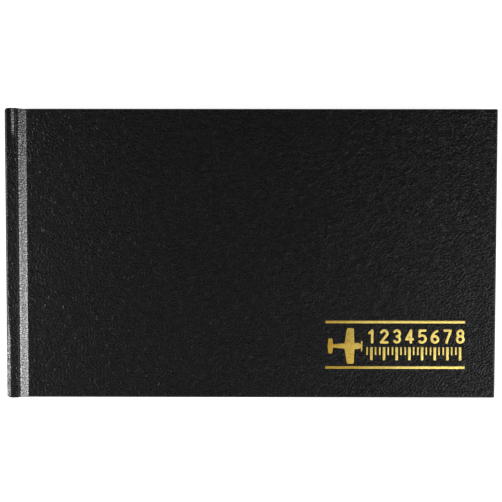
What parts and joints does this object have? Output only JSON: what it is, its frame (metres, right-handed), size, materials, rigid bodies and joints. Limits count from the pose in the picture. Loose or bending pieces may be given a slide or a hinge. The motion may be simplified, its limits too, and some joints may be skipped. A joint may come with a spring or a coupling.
{
  "type": "pilot logbook",
  "caption": "Landscape hardcover logbook with a square spine, pressed cover joints, sewn ruled pages and gold-stamped rules, light aircraft and number scale; both covers open.",
  "frame": {"origin": "centre of the closed book's underside, on the back cover's outer face", "axes": "+X from the spine to the fore-edge, +Y to the head, +Z out of the front cover"},
  "size_m": [0.28, 0.166, 0.0195],
  "materials": {
    "covering": "black leather grain, semi-gloss",
    "gold_foil": "hot-stamped gold foil",
    "greyboard": "matt",
    "endpaper": "matt",
    "ledger_paper": "matt, printed rules",
    "kraft_paper": "matt",
    "mull": "open weave",
    "thread": "waxed",
    "headband": "striped"
  },
  "bodies": {
    "text_block": {"section_01": "ledger_paper", "section_02": "ledger_paper", "section_03": "ledger_paper", "section_04": "ledger_paper", "section_05": "ledger_paper", "section_06": "ledger_paper", "section_07": "ledger_paper", "section_08": "ledger_paper", "section_09": "ledger_paper", "section_10": "ledger_paper", "section_11": "ledger_paper", "section_12": "ledger_paper", "sewing_thread": "thread", "spine_mull": "mull", "spine_liner": "kraft_paper", "headband_head": "headband", "headband_tail": "headband", "spine_board": "greyboard", "spine_covering": "covering"},
    "front_cover": {"front_board": "greyboard", "front_covering": "covering", "front_mull_flange": "mull", "front_pastedown": "endpaper", "foil_rules": "gold_foil", "foil_aircraft": "gold_foil", "foil_numbers": "gold_foil", "foil_scale": "gold_foil"},
    "back_cover": {"back_board": "greyboard", "back_covering": "covering", "back_mull_flange": "mull", "back_pastedown": "endpaper"},
    "front_flyleaf": {"front_flyleaf": "endpaper"},
    "back_flyleaf": {"back_flyleaf": "endpaper"},
    "leaf_1": {"leaf_1": "ledger_paper"},
    "leaf_2": {"leaf_2": "ledger_paper"},
    "leaf_3": {"leaf_3": "ledger_paper"},
    "leaf_4": {"leaf_4": "ledger_paper"}
  },
  "joints": [
    {"name": "front_cover_hinge", "type": "hinge", "parent": "text_block", "child": "front_cover", "pos_m": [-0.1326, 0, 0.01965], "axis": [0, -1, 0], "range_deg": [0, 180]},
    {"name": "back_cover_hinge", "type": "hinge", "parent": "text_block", "child": "back_cover", "pos_m": [-0.1326, 0, -0.00015], "axis": [0, 1, 0], "range_deg": [0, 180]},
    {"name": "front_flyleaf_turn", "type": "hinge", "parent": "text_block", "child": "front_flyleaf", "pos_m": [-0.1326, 0, 0.01965], "axis": [0, -1, 0], "range_deg": [0, 180]},
    {"name": "leaf_1_turn", "type": "hinge", "parent": "text_block", "child": "leaf_1", "pos_m": [-0.1326, 0, 0.01965], "axis": [0, -1, 0], "range_deg": [0, 180]},
    {"name": "leaf_2_turn", "type": "hinge", "parent": "text_block", "child": "leaf_2", "pos_m": [-0.1326, 0, 0.01965], "axis": [0, -1, 0], "range_deg": [0, 180]},
    {"name": "leaf_3_turn", "type": "hinge", "parent": "text_block", "child": "leaf_3", "pos_m": [-0.1326, 0, 0.01965], "axis": [0, -1, 0], "range_deg": [0, 180]},
    {"name": "leaf_4_turn", "type": "hinge", "parent": "text_block", "child": "leaf_4", "pos_m": [-0.1326, 0, 0.01965], "axis": [0, -1, 0], "range_deg": [0, 180]},
    {"name": "back_flyleaf_turn", "type": "hinge", "parent": "text_block", "child": "back_flyleaf", "pos_m": [-0.1326, 0, -0.00015], "axis": [0, 1, 0], "range_deg": [0, 180]}
  ],
  "couplings": [
    {"joint": "front_flyleaf_turn", "follows": "front_cover_hinge", "ratio": 0.997},
    {"joint": "leaf_1_turn", "follows": "front_cover_hinge", "ratio": 0.995},
    {"joint": "leaf_2_turn", "follows": "front_cover_hinge", "ratio": 0.993},
    {"joint": "leaf_3_turn", "follows": "front_cover_hinge", "ratio": 0.991},
    {"joint": "leaf_4_turn", "follows": "front_cover_hinge", "ratio": 0.989},
    {"joint": "back_flyleaf_turn", "follows": "back_cover_hinge", "ratio": 0.997}
  ]
}
